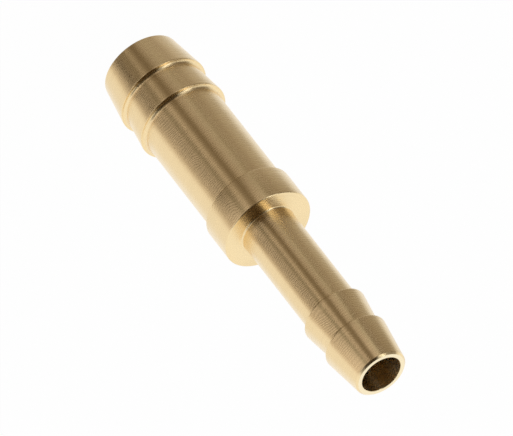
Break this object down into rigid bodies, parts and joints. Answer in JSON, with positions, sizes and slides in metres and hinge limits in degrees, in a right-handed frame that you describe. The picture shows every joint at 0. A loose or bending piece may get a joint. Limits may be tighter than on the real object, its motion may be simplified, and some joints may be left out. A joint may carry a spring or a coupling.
{
  "type": "hose barb reducer",
  "caption": "Straight turned brass hose reducer: barbed tails of two sizes either side of a plain collar, with a stepped bore right through.",
  "frame": {"origin": "centre of the large tail's end face, which the part stands on", "axes": "+Z along the bore from the large tail to the small tail; the part is round about Z, so X and Y are free"},
  "size_m": [0.01, 0.01, 0.048],
  "materials": {
    "turned_brass": "satin, as turned, with fine circular tool marks"
  },
  "bodies": {
    "root": {"hose_barb_reducer": "turned_brass"}
  },
  "joints": []
}
